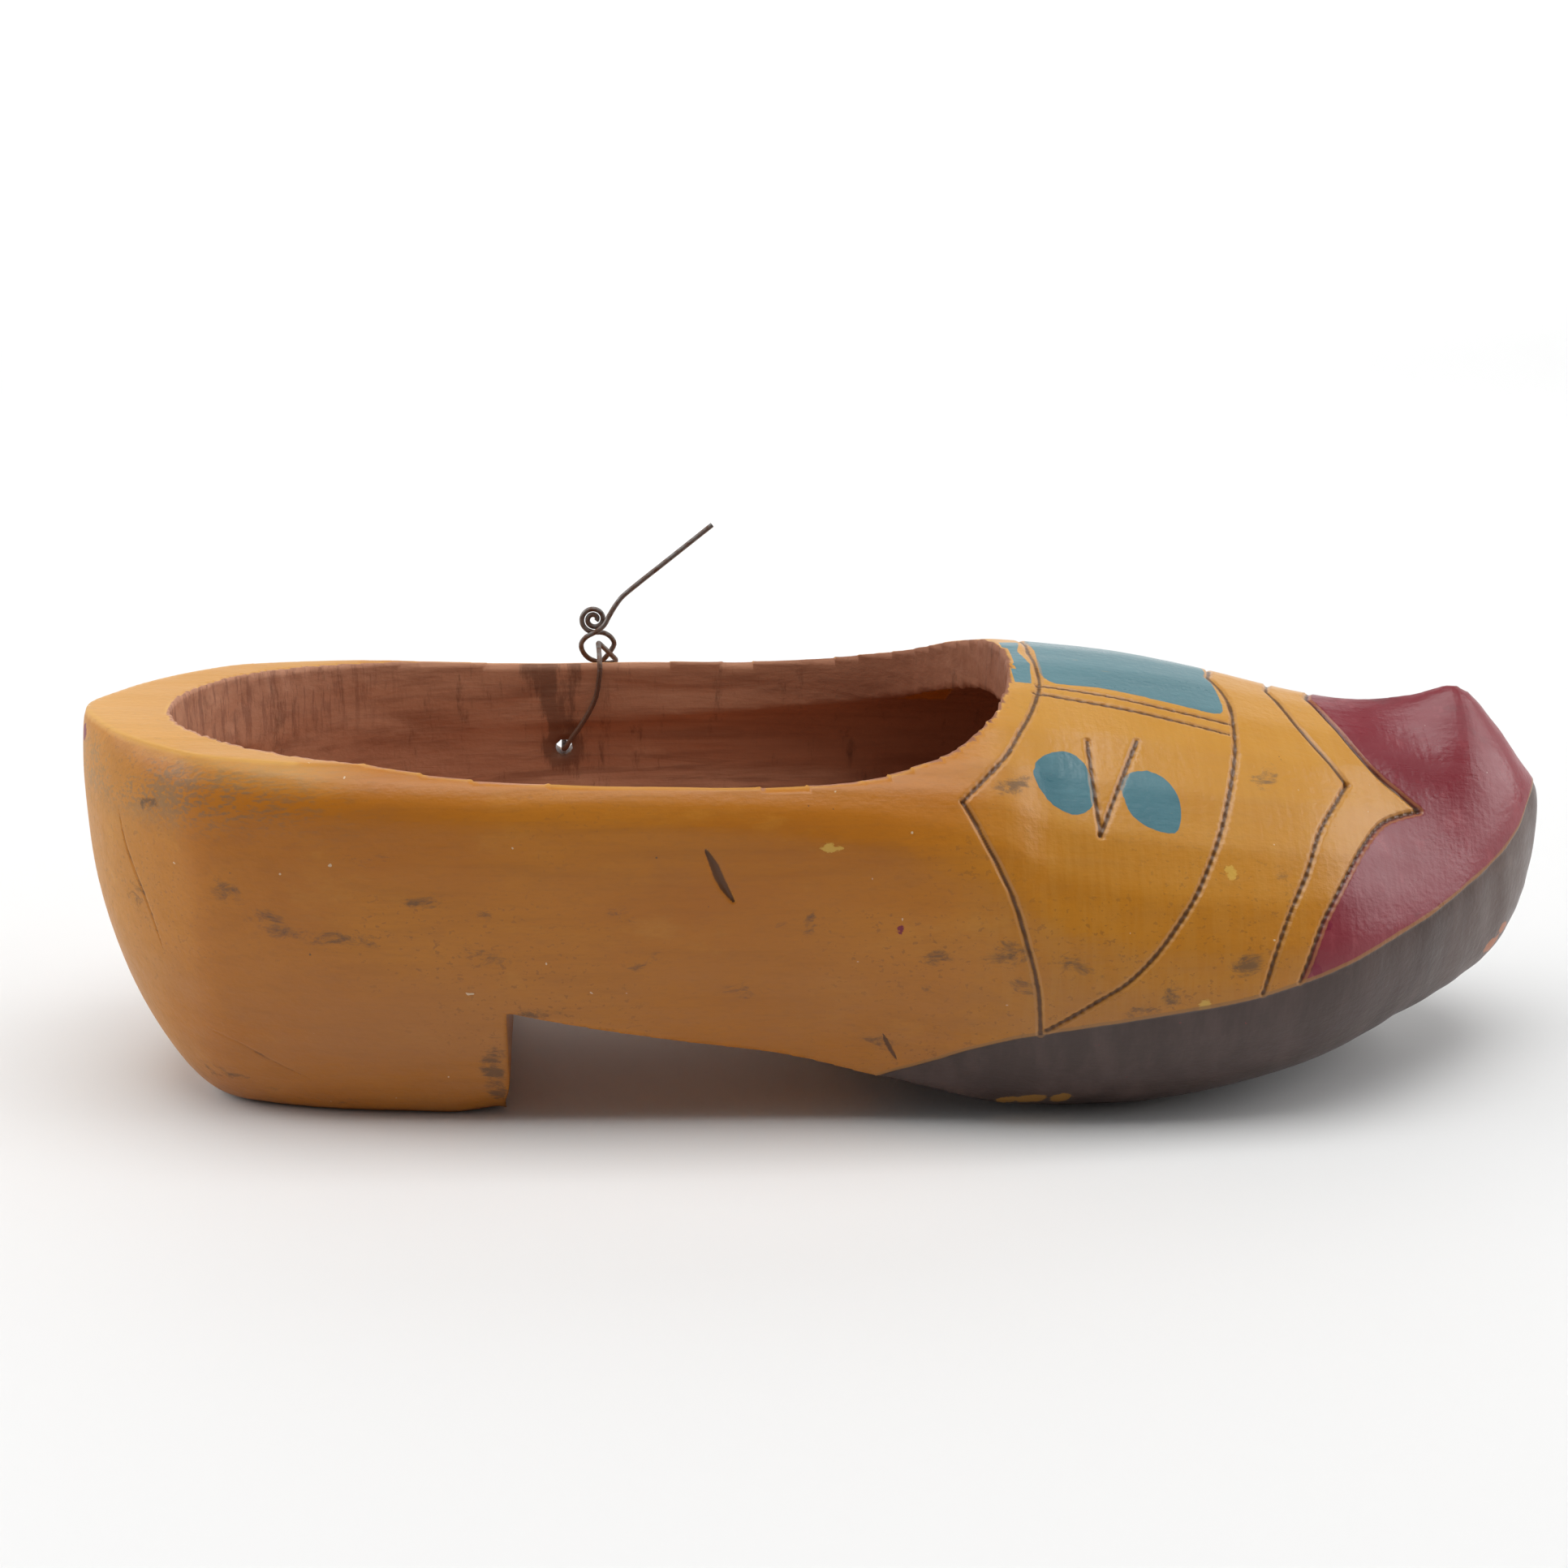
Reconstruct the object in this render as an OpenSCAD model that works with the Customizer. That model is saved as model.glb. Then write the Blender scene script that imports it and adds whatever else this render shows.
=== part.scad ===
// Wooden clog for the right foot: one hollowed block, with a twisted tie wire through its inner wall.
// Frame: +X to the toe, +Y to the inner (big toe) side, +Z up, origin under the middle of its box.

/* [Clog] */
// Length from heel to toe
body_length = 293; // [260:1:310]
// Width across the ball of the foot
body_width = 102; // [92:1:110]
// Height from the floor to the instep
body_height = 84; // [76:1:92]
// Height of the heel block at its front face
heel_height = 26; // [22:1:28]

/* [Tie wire] */
// Diameter of the wire
wire_d = 1.1; // [0.9:0.1:1.2]
// Diameter of the hole drilled through the inner wall
hole_d = 3.4; // [2.6:0.2:4.2]
// Length of the straight loose end
tail_length = 23; // [8:1:30]
// Turns in the flat curl
curl_turns = 1.9; // [1.2:0.1:1.9]

/* [Hidden] */

drawn_size = [294, 102, 85];  // size that the numbers below are drawn at
size_ratio = [body_length / drawn_size[0], body_width / drawn_size[1], body_height / drawn_size[2]];
centre_shift = 1;            // puts the origin midway between heel and toe
loft_steps = 4;              // rings between two rows
arc_steps = 8;               // points in each quarter of a ring
curve_steps = 4;             // points between two drawn points of the opening's edge
arch_steps = 2;              // points between two drawn points of the arch

// Columns of the section rows: place along the block, reach to the outer and the inner side, height
// of the widest line and of the underside, half width of the underside's flat on the two sides, top,
// offset of the crest, and fullness above and below the widest line (2 is an ellipse, more is squarer)
along = 0;
outer_reach = 1;
inner_reach = 2;
widest_z = 3;
under_z = 4;
outer_flat = 5;
inner_flat = 6;
top_z = 7;
crest_y = 8;
full_above = 9;
full_below = 10;

// The outside of the block
shell_rows = [
    [-148,  2.0,  2.0, 62, 57,  1,  1, 68,   0, 2.0, 2.0],
    [-147,  8.0,  8.0, 62, 44,  3,  3, 77,   0, 2.0, 2.0],
    [-143, 16.5, 16.5, 61, 29,  6,  6, 80,   0, 2.4, 2.0],
    [-137, 24.5, 25.0, 60, 16, 10, 10, 81,   0, 3.0, 1.9],
    [-128, 33.0, 34.0, 58,  4, 15, 15, 81,   1, 3.4, 1.7],
    [-118, 39.0, 40.0, 57,  0, 20, 20, 80,   2, 3.8, 1.6],
    [ -98, 43.5, 44.5, 57,  0, 26, 26, 78,   3, 4.2, 1.5],
    [ -70, 45.5, 46.5, 56,  0, 29, 29, 76,   3, 4.4, 1.5],
    [ -40, 46.0, 47.0, 55,  0, 31, 31, 76,   4, 4.2, 1.5],
    [ -10, 46.5, 47.0, 52,  0, 32, 32, 77,   5, 3.6, 1.6],
    [  14, 48.0, 48.0, 46,  0, 32, 32, 80,   5, 2.9, 1.7],
    [  28, 49.5, 49.5, 40,  0, 32, 32, 84,   4, 2.3, 1.8],
    [  37, 50.5, 50.5, 35,  0, 32, 32, 85,   4, 1.9, 1.8],
    [  56, 51.0, 51.0, 31,  0, 32, 32, 83,   4, 1.8, 1.8],
    [  76, 50.0, 50.0, 31,  3, 31, 31, 79,   4, 1.7, 1.8],
    [  93, 46.0, 45.0, 33,  7, 28, 27, 75,   3, 1.6, 1.8],
    [ 107, 38.5, 37.5, 35, 11, 22, 21, 73,   2, 1.4, 1.8],
    [ 118, 31.0, 30.0, 38, 14, 17, 16, 74,   1, 1.3, 1.8],
    [ 127, 24.0, 23.5, 41, 17, 13, 12, 76,   0, 1.3, 1.9],
    [ 135, 17.0, 16.5, 44, 21,  9,  8, 69,   0, 1.5, 2.0],
    [ 141, 10.5, 10.5, 46, 27,  5,  5, 61,   0, 1.8, 2.0],
    [ 145,  5.0,  5.0, 48, 36,  2,  2, 56,   0, 2.0, 2.0],
    [ 146,  1.5,  1.5, 49, 42,  1,  1, 53,   0, 2.0, 2.0],
];
// The hollow for the foot
hollow_rows = [
    [-131,  3.0,  3.0, 56, 50,  1,  1, 60,   0, 2.0, 2.0],
    [-129, 12.0, 13.0, 56, 43,  4,  4, 64,   0, 2.0, 2.2],
    [-122, 22.0, 24.0, 56, 38, 10,  9, 66,   0, 2.5, 2.4],
    [-108, 30.5, 32.0, 56, 35, 16, 14, 66,   0, 3.0, 2.6],
    [ -85, 38.0, 38.0, 55, 34, 20, 18, 67,   0, 3.2, 2.6],
    [ -45, 41.5, 40.5, 54, 33, 22, 20, 67,   0, 3.2, 2.6],
    [  -8, 41.5, 40.5, 50, 29, 22, 21, 69,   3, 3.4, 2.6],
    [  20, 41.5, 41.0, 43, 22, 23, 22, 72,   4, 2.8, 2.6],
    [  46, 42.5, 42.5, 37, 16, 24, 23, 75,   4, 2.0, 2.6],
    [  74, 42.0, 41.0, 36, 17, 22, 21, 67,   4, 1.8, 2.6],
    [  96, 34.0, 33.0, 38, 22, 17, 16, 58,   3, 1.8, 2.4],
    [ 111, 23.0, 22.0, 41, 29, 10, 10, 52,   2, 2.0, 2.2],
    [ 119, 10.0, 10.0, 43, 36,  4,  4, 48,   1, 2.0, 2.0],
    [ 121,  3.0,  3.0, 43, 40,  1,  1, 45,   1, 2.0, 2.0],
];
// Edge of the opening, seen from above, once round from the back
mouth_points = [
    [-131, 0], [-127, -13], [-118, -23], [-104, -31.5], [-80, -38.5], [-45, -41.5], [-12, -41],
    [6, -38.5], [20, -32.5], [29, -22], [33, -7], [32, 9], [27, 21], [16, 31], [-6, 36.5],
    [-45, 39], [-80, 38], [-104, 33], [-118, 26], [-127.5, 14],
];
mouth_bottom_z = 50;         // the opening's straight walls start here, inside the hollow
mouth_depth = 60;
// Underside of the waist, from the heel's front face to the ball
arch_points = [
    [-62, heel_height - 1], [-48, 21.8], [-32, 18.8], [-16, 16.2], [-2, 12.4], [12, 7.9],
    [24, 4.2], [33, 2], [42, 0.6], [52, 0],
];
heel_front_x = -66;          // front face of the heel block
below_floor = -20;           // the arch is cut down to here
heel_top_x = -150;           // the flat cut on top of the heel starts behind the block
heel_top_z = 76.8;
heel_top_fall = 2.2;         // degrees that this cut falls towards the toe
heel_top_size = [70, 2 * body_width, 40];

function catmull(a, b, c, d, t) =
    (2 * b + (c - a) * t + (2 * a - 5 * b + 4 * c - d) * t * t + (3 * b - a - 3 * c + d) * t * t * t) / 2;
function row_at(rows, s) =
    let (last = len(rows) - 1, i = min(floor(s), last - 1))
    catmull(rows[max(i - 1, 0)], rows[i], rows[i + 1], rows[min(i + 2, last)], s - i);
function smooth_line(points, steps) =
    [for (i = [0 : steps * (len(points) - 1)]) row_at(points, i / steps)];
function closed_curve(points, steps) =
    let (n = len(points))
    [for (i = [0 : n - 1], j = [0 : steps - 1])
        catmull(points[(i + n - 1) % n], points[i], points[(i + 1) % n], points[(i + 2) % n], j / steps)];
function power(value, fullness) = pow(max(value, 0), 2 / fullness);
function drawn_to_real(p) = [p[0] * size_ratio[0], p[1] * size_ratio[1], p[2] * size_ratio[2]];

// One quarter above or below the widest line, from the crest or from the widest line down
function upper_quarter(side, row) =
    let (reach = side < 0 ? row[outer_reach] + row[crest_y] : row[inner_reach] - row[crest_y],
         rise = row[top_z] - row[widest_z])
    [for (i = [0 : arc_steps - 1])
        let (a = 90 * i / arc_steps)
        [row[along], row[crest_y] + side * reach * power(sin(a), row[full_above]),
            row[widest_z] + rise * power(cos(a), row[full_above])]];
function lower_quarter(side, row) =
    let (reach = side < 0 ? row[outer_reach] : row[inner_reach],
         flat = side < 0 ? row[outer_flat] : row[inner_flat],
         drop = row[widest_z] - max(row[under_z], 0))
    [for (i = [0 : arc_steps])
        let (a = 90 * i / arc_steps)
        [row[along], side * (flat + (reach - flat) * power(cos(a), row[full_below])),
            row[widest_z] - drop * power(sin(a), row[full_below])]];
function reversed(list) = [for (i = [len(list) - 1 : -1 : 0]) list[i]];
function ring(row) =
    let (outer = concat(upper_quarter(-1, row), lower_quarter(-1, row)),
         inner = concat(upper_quarter(1, row), lower_quarter(1, row)),
         keel = [row[along], 0, max(row[under_z], 0)])
    concat(outer, [keel], reversed([for (i = [1 : len(inner) - 1]) inner[i]]));

module loft(rings) {
    sides = len(rings[0]);
    last = len(rings) - 1;
    walls = [for (i = [0 : last - 1], j = [0 : sides - 1])
        let (a = i * sides + j, b = i * sides + (j + 1) % sides)
        each [[a, b + sides, b], [a, a + sides, b + sides]]];
    start_cap = [for (j = [0 : sides - 1]) j];
    end_cap = [for (j = [sides - 1 : -1 : 0]) last * sides + j];
    polyhedron([for (r = rings) each r], concat(walls, [start_cap, end_cap]), convexity = 10);
}

module section_loft(rows) {
    loft([for (i = [0 : (len(rows) - 1) * loft_steps]) ring(row_at(rows, i / loft_steps))]);
}

module mouth() {
    translate([0, 0, mouth_bottom_z])
        linear_extrude(mouth_depth)
            polygon(closed_curve(mouth_points, curve_steps));
}

module arch_cut() {
    last = len(arch_points) - 1;
    curve = smooth_line(arch_points, arch_steps);
    corners = [[arch_points[last][0], below_floor], [heel_front_x, below_floor], [heel_front_x, heel_height]];
    rotate([90, 0, 0])
        linear_extrude(2 * body_width, center = true)
            polygon(concat(corners, curve));
}

module heel_top_cut() {
    translate([heel_top_x, -body_width, heel_top_z])
        rotate([0, heel_top_fall, 0])
            cube(heel_top_size);
}

module carved_block() {
    resize([body_length, body_width, body_height])
        translate([centre_shift, 0, 0])
            difference() {
                section_loft(shell_rows);
                section_loft(hollow_rows);
                mouth();
                arch_cut();
                heel_top_cut();
            }
}

// The drilled hole, whose axis is also the axis that the wire swings about
hole_x = -53.8;
hole_y = 43.5;
hole_z = 54;
hole_depth = 16;

module clog_body() {
    color([0.72, 0.47, 0.12])
        difference() {
            carved_block();
            translate(drawn_to_real([hole_x, hole_y, hole_z]))
                rotate([90, 0, 0])
                    cylinder(d = hole_d, h = hole_depth, center = true, $fn = 48);
        }
}

wire_sides = 12;
strand_steps = 3;            // rings between two drawn points of a strand
tuck = 0.98;                 // the bent strands start just inside the straight length
inner_y = 38.2;              // inner strand, between the foot hollow and the wall
outer_y = 48.2;              // outer strand, beside the wall
bend_room = 1;               // between a strand and the straight length through the hole
outward = [0.2, 1, 0.1];     // not along any strand, so it sets which way a strand's ring faces
tail_way = [0.785, 0.03, 0.62];
tail_start = [-39.3, 47.5, 87];
curl_centre = [-46.9, 48.3, 80.6];
curl_radius = 2.9;
curl_pitch = 1.25;           // the curl tightens by this much in a turn
curl_step = 1 / 12;          // of a turn

// Loose end, once round the other strand, over the rim and down inside to the hole
inner_strand = [
    tail_start + tail_length * tail_way, tail_start + 0.5 * tail_length * tail_way, tail_start,
    [-41.6, 47.4, 84.7], [-43.6, 47.1, 81.6], [-44.7, 46.9, 79.6], [-46.6, 46.8, 78.1],
    [-48.6, 46.9, 77], [-49.7, 47.6, 75.3], [-49.3, 48.6, 73.1], [-47.6, 49.6, 71.2],
    [-44.3, 49.7, 70.3], [-42.3, 48.3, 71.2], [-43.2, 47, 72.8], [-45.2, 46.6, 75],
    [-46, 45.2, 76], [-46, 42.5, 75.6], [-45.9, 40, 74.9], [-45.9, 38.3, 73.6],
    [-45.9, inner_y - 0.6, 71.5], [-46.8, inner_y - 0.4, 66], [-49.2, inner_y - 0.2, 61],
    [-52.4, inner_y, hole_z + 2.3], [hole_x + 0.5, inner_y + 0.2, hole_z + 0.7],
    [hole_x, inner_y + bend_room, hole_z], [hole_x, inner_y + 2 * bend_room, hole_z],
];
// From the hole up the outside, and into the curl
outer_strand = concat([
    [hole_x, outer_y - 2 * bend_room, hole_z], [hole_x, outer_y - bend_room, hole_z],
    [hole_x + 0.5, outer_y - 0.2, hole_z + 0.7], [-52.4, outer_y, hole_z + 2.3],
    [-49.2, outer_y, 61], [-47.2, outer_y, 66.5], [-45.8, outer_y, 70.4], [-43.8, outer_y, 72.9],
    [-42.6, outer_y, 75], [-43.4, outer_y, 76.7], [-45, outer_y, 77.6]],
    [for (t = [0 : curl_step : curl_turns])
        curl_centre + (curl_radius - curl_pitch * t) * [-sin(360 * t), 0, -cos(360 * t)]]);

function unit(v) = v / norm(v);
function directions(line) =
    [for (i = [0 : len(line) - 1]) unit(line[min(i + 1, len(line) - 1)] - line[max(i - 1, 0)])];
function carried(ways, sides) =
    len(sides) == len(ways) ? sides :
    let (w = ways[len(sides)], last = sides[len(sides) - 1])
    carried(ways, concat(sides, [unit(last - (last * w) * w)]));

module strand(points, radius) {
    line = [for (p = smooth_line(points, strand_steps)) drawn_to_real(p)];
    ways = directions(line);
    across = carried(ways, [unit(cross(ways[0], outward))]);
    loft([for (i = [0 : len(line) - 1])
        [for (j = [0 : wire_sides - 1])
            let (a = 360 * j / wire_sides)
            line[i] + radius * (cos(a) * across[i] + sin(a) * cross(ways[i], across[i]))]]);
}

module tie_wire() {
    color([0.36, 0.31, 0.28]) {
        strand(inner_strand, tuck * wire_d / 2);
        strand(outer_strand, tuck * wire_d / 2);
        translate(drawn_to_real([hole_x, inner_y + bend_room, hole_z]))
            rotate([-90, 0, 0])
                cylinder(d = wire_d, h = (outer_y - inner_y - 2 * bend_room) * size_ratio[1], $fn = 32);
    }
}

clog_body();
tie_wire();
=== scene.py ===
import math

import bmesh
import bpy
import numpy as np
from mathutils import Matrix, Vector
from mathutils.bvhtree import BVHTree
from mathutils.kdtree import KDTree
from mathutils import noise


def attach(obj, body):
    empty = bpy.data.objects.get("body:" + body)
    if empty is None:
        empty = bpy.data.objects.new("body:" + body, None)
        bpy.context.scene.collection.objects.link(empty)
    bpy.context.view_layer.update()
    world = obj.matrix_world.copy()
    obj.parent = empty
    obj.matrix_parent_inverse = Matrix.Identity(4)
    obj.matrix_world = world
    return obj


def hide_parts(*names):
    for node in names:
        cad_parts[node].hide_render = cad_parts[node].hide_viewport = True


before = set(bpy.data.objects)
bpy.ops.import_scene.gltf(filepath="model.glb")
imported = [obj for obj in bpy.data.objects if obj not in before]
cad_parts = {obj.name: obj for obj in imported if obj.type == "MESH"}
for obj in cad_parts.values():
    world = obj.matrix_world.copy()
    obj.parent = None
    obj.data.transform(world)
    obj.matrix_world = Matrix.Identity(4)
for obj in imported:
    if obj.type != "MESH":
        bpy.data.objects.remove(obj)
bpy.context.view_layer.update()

MM = 0.001
BODY, WIRE = "clog_body", "tie_wire"
AXIS_Z = 32 * MM                      # height of the line that the angles below are measured about

# ---------------------------------------------------------------- camera
camera_data = bpy.data.cameras.new("camera")
camera = bpy.data.objects.new("camera", camera_data)
bpy.context.scene.collection.objects.link(camera)
bpy.context.scene.camera = camera
AZIMUTH, ELEVATION, ROLL = math.radians(-4.7), math.radians(17.45), math.radians(0.36)
DISTANCE = 0.506                      # metres from the camera to the target
LENS = 57.8                           # mm
target = Vector((-0.0094, 0, 0.0569))    # near the middle of the clog
forward = Vector((-math.sin(AZIMUTH) * math.cos(ELEVATION), math.cos(AZIMUTH) * math.cos(ELEVATION),
                  -math.sin(ELEVATION)))
camera.rotation_mode = "QUATERNION"
camera.location = target - forward * DISTANCE
camera.rotation_quaternion = (forward.to_track_quat("-Z", "Y").to_matrix()
                              @ Matrix.Rotation(ROLL, 3, "Z")).to_quaternion()
camera_data.lens = LENS
camera_data.clip_start = 0.01


# ---------------------------------------------------------------- helpers
def vertex_array(mesh):
    flat = np.empty(len(mesh.vertices) * 3)
    mesh.vertices.foreach_get("co", flat)
    return flat.reshape(-1, 3)


def normal_array(mesh):
    flat = np.empty(len(mesh.vertices) * 3)
    mesh.vertices.foreach_get("normal", flat)
    return flat.reshape(-1, 3)


def ramp(value, low, high):
    t = np.clip((value - low) / (high - low), 0, 1)
    return t * t * (3 - 2 * t)


def smooth_noise(points, scale, seed):
    """Soft noise from -1 to 1, with bumps about `scale` metres across."""
    offset = Vector((seed * 3.7, seed * 1.3, seed * 5.1))
    return np.array([noise.noise(Vector(p) / scale + offset) for p in points])


def catmull(points, steps):
    """A smooth line through 2-D or 3-D points."""
    p = np.array(points, float)
    out = []
    for i in range(len(p) - 1):
        a, b, c, d = p[max(i - 1, 0)], p[i], p[i + 1], p[min(i + 2, len(p) - 1)]
        for t in np.linspace(0, 1, steps, endpoint=False):
            out.append((2 * b + (c - a) * t + (2 * a - 5 * b + 4 * c - d) * t * t
                        + (3 * b - a - 3 * c + d) * t ** 3) / 2)
    out.append(p[-1])
    return np.array(out)


def run(obj, kind, **settings):
    modifier = obj.modifiers.new(kind.lower(), kind)
    for key, value in settings.items():
        setattr(modifier, key, value)
    bpy.context.view_layer.objects.active = obj
    bpy.ops.object.modifier_apply(modifier=modifier.name)


# ---------------------------------------------------------------- the carved block
SHARP_ANGLE = math.radians(32)        # an edge that turns more than this keeps its place
SHARP_SPACING = 0.2 * MM              # between the points that mark it
SOFT_FROM, SOFT_TO = 1.5 * MM, 6 * MM # smoothing starts this far from an edge, and is full from there
GROOVE_REACH, GROOVE_REACH_FINE = 2.2 * MM, 1.3 * MM     # mesh is split within these of a cut line

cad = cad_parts[BODY]
cad_mesh = bmesh.new()
cad_mesh.from_mesh(cad.data)
bmesh.ops.remove_doubles(cad_mesh, verts=cad_mesh.verts, dist=1e-5)
bmesh.ops.recalc_face_normals(cad_mesh, faces=cad_mesh.faces)

# Points along the sharp edges of the CAD block, so that smoothing leaves them alone
sharp_points = []
for edge in cad_mesh.edges:
    if len(edge.link_faces) == 2 and edge.calc_face_angle(0) > SHARP_ANGLE:
        a, b = edge.verts[0].co, edge.verts[1].co
        count = max(1, int((b - a).length / SHARP_SPACING))
        sharp_points += [a.lerp(b, i / count) for i in range(count + 1)]
sharp_tree = KDTree(len(sharp_points))
for i, p in enumerate(sharp_points):
    sharp_tree.insert(p, i)
sharp_tree.balance()

block_mesh = bpy.data.meshes.new("carved_block")
cad_mesh.to_mesh(block_mesh)
cad_tree = BVHTree.FromBMesh(cad_mesh)
cad_mesh.free()
block = bpy.data.objects.new("carved_block", block_mesh)
bpy.context.scene.collection.objects.link(block)

# Remeshed to an even size, keeping the sharp edges
run(block, "REMESH", mode="SHARP", octree_depth=8, scale=0.98, sharpness=1.0,
    use_remove_disconnected=False, use_smooth_shade=True)


def split_near(obj, trees, reach):
    """Halves the mesh's edges where both ends are within reach of any of the trees."""
    work = bmesh.new()
    work.from_mesh(obj.data)
    near = {v: any(tree.find(v.co)[2] < reach for tree in trees) for v in work.verts}
    edges = [e for e in work.edges if near[e.verts[0]] and near[e.verts[1]]]
    bmesh.ops.subdivide_edges(work, edges=edges, cuts=1, use_grid_fill=True)
    work.to_mesh(obj.data)
    work.free()
    obj.data.update()


# Round the edges a little, as wear does, and take the facets off the broad surfaces
run(block, "SMOOTH", factor=0.5, iterations=2)
mesh = block.data
coords = vertex_array(mesh)
near_sharp = np.array([sharp_tree.find(Vector(p))[2] for p in coords])
soft = block.vertex_groups.new(name="soft")
for i, weight in enumerate(ramp(near_sharp, SOFT_FROM, SOFT_TO)):
    soft.add([i], float(weight), "REPLACE")
run(block, "SMOOTH", factor=0.5, iterations=14, vertex_group="soft")

# ---------------------------------------------------------------- the cut lines and the painted shapes
# Each point is (distance from the origin towards the toe in mm, angle up from the side in degrees).
# The same drawing is on both sides of the clog, so the angle runs from the sole to 90 at the top.
LINES = {
    "collar": [(39.2, 90), (39.6, 83), (39.2, 74), (36.6, 65), (33.2, 57), (29, 49), (20.4, 39)],
    "collar_low": [(20.4, 39), (23.7, 32), (27, 25), (29.4, 19), (31.4, 12), (34.2, 0), (35.4, -12)],
    "vamp": [(76, 90), (78.2, 79), (77.4, 66), (76, 56), (73, 43), (69.8, 32), (64.4, 19), (57.5, 8),
             (51.5, 1), (45, -4), (36.5, -11)],
    "toe_inner": [(88.2, 90), (90.4, 80), (92.6, 71), (99.2, 53)],
    "toe_inner_low": [(99.2, 53), (95.6, 45), (90.8, 35), (87, 24), (83, 15), (79.8, 6), (77.4, -3)],
    "toe_cap": [(96.5, 90), (99.6, 79), (105.6, 62), (114.5, 48)],
    "toe_cap_low": [(114.5, 48), (106.3, 42), (100, 32), (95.2, 23), (91.4, 16), (88.6, 10), (84.8, -1)],
    "strap_edge": [(38.6, 74), (50, 72.5), (63, 70.5), (76.8, 68.5)],
    "strap_edge_low": [(37.6, 71), (50, 69), (63, 67), (76, 64.5)],
    "mark_left": [(46.5, 57), (46.4, 46), (46.8, 33)],
    "mark_right": [(56.4, 58), (51.8, 46), (46.8, 33)],
}
# Depth of the cut lines in mm, where it isn't the usual one
USUAL_DEPTH = 0.7
LINE_DEPTH = {"strap_edge": 0.35, "strap_edge_low": 0.35, "collar": 0.55, "mark_left": 0.6,
              "mark_right": 0.6}
# Scratches on the near side, as (towards the toe, height) in mm, with their width, depth and darkness
SCRATCHES = [
    ([(-27.4, 58.8), (-26, 56), (-24.6, 52.6), (-22.4, 48.8)], 1.3, 0.8, 1.0),
    ([(6.2, 20.4), (7.4, 17.6), (9, 14.6)], 0.8, 0.35, 0.8),
    ([(-136.5, 61.5), (-135.6, 55.5), (-133.8, 49.5), (-131.6, 43), (-129.6, 35.5)], 0.6, 0.2, 0.48),
    ([(-122, 19.6), (-116, 17), (-110, 13.2), (-103, 9.2)], 0.6, 0.15, 0.45),
]
# Marks: towards the toe, height, length and width in mm, tilt in degrees, strength. First, dirt
MARKS = [
    (-8, 44.4, 2.2, 6, -15, 0.95), (-12.5, 43.6, 8, 3, 0, 0.5), (16.4, 37.6, 11, 3.4, -4, 0.68),
    (28.4, 38.8, 14, 6, -6, 0.95), (32, 32, 7, 3.4, -20, 0.75), (41.5, 36, 13, 4, -14, 0.68),
    (50, 38, 5, 3.4, 0, 0.62), (73.5, 34.8, 7.5, 5, 20, 0.98), (59.6, 29.6, 3.4, 4.2, 0, 0.95),
    (54.5, 26.2, 7, 4, 6, 0.72), (30, 68, 8.4, 2.4, 0, 0.9), (81, 65, 7, 3, 20, 0.62),
    (83, 51, 8, 3, 40, 0.5), (4.8, 18.6, 14, 3, -20, 0.62), (-79, 49.4, 8.4, 1.8, 3, 0.85),
    (-115.7, 51, 7, 5, 10, 0.62), (-108.8, 45.4, 11, 5, -12, 0.66), (-129.6, 65, 3.4, 1.8, 30, 0.9),
    (-38.6, 37.6, 9, 9, 0, 0.5), (-42.4, 46, 8, 9, 0, 0.5), (-68, 46.6, 2.4, 2.4, 0, 0.7),
    (-90, 59, 18, 5, -3, 0.42), (-96, 42, 40, 3.2, -4, 0.5), (-66, 38, 24, 3, -6, 0.5),
    (-67.4, 13, 4.4, 16, 0, 1.0), (-66.6, 5.4, 4, 6, 20, 0.9), (-60.5, 25.5, 9, 2.4, -6, 0.8),
    (-20, 30, 16, 3, -8, 0.42), (12, 30, 9, 4, 10, 0.45), (-134, 44, 5, 16, 8, 0.5),
    (-118, 8, 20, 4, -12, 0.55), (-100, 3.5, 24, 3, -3, 0.6),
]
# Chips in the brown band down to the ochre, and down to the wood; drips of maroon; thick yellow paint
CHIPS = [(36, 4.4, 7, 1.4, 4, 1.0), (41.5, 4.6, 4, 2.2, 20, 0.95), (31, 4, 3, 1, 0, 0.8),
         (12, 5, 11, 0.6, -20, 0.9)]
WOOD_CHIPS = [(134, 24.5, 3.4, 2.2, 40, 1.0), (137, 27.5, 2, 1.4, 40, 0.8)]
DRIPS = [(8.6, 43.5, 0.8, 1.6, 0, 0.9), (88, 33, 0.6, 2.6, 10, 0.9),
         (86.4, 26.5, 0.5, 2, 10, 0.85), (90, 41, 0.8, 1, 0, 0.8)]
FRESH = [(71.6, 51.5, 1.2, 2.6, 20, 0.78), (-4.3, 59, 5, 0.8, -8, 0.8), (66, 27.5, 2, 2.4, 0, 0.6),
         (-24, 73.5, 16, 1, 0, 0.6), (-70, 73.5, 14, 1, 0, 0.6)]
# Upper edge of the brown band: (towards the toe, height above the floor), both in mm
SOLE_EDGE = [(4, 9.5), (7, 11), (15.5, 14.3), (24.5, 18.2), (35, 21.6), (45.6, 23.6), (59, 25.8),
             (73, 28), (88.6, 31.6), (101, 35), (115, 38.6), (124.8, 42), (131, 44.6), (137.5, 48.6),
             (141.4, 53), (146.6, 57)]
# Its back end, which runs down and forward under the waist
SOLE_BACK = [(4, 9.5), (10, 7.5), (20, 4.6), (26, -1)]
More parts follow.
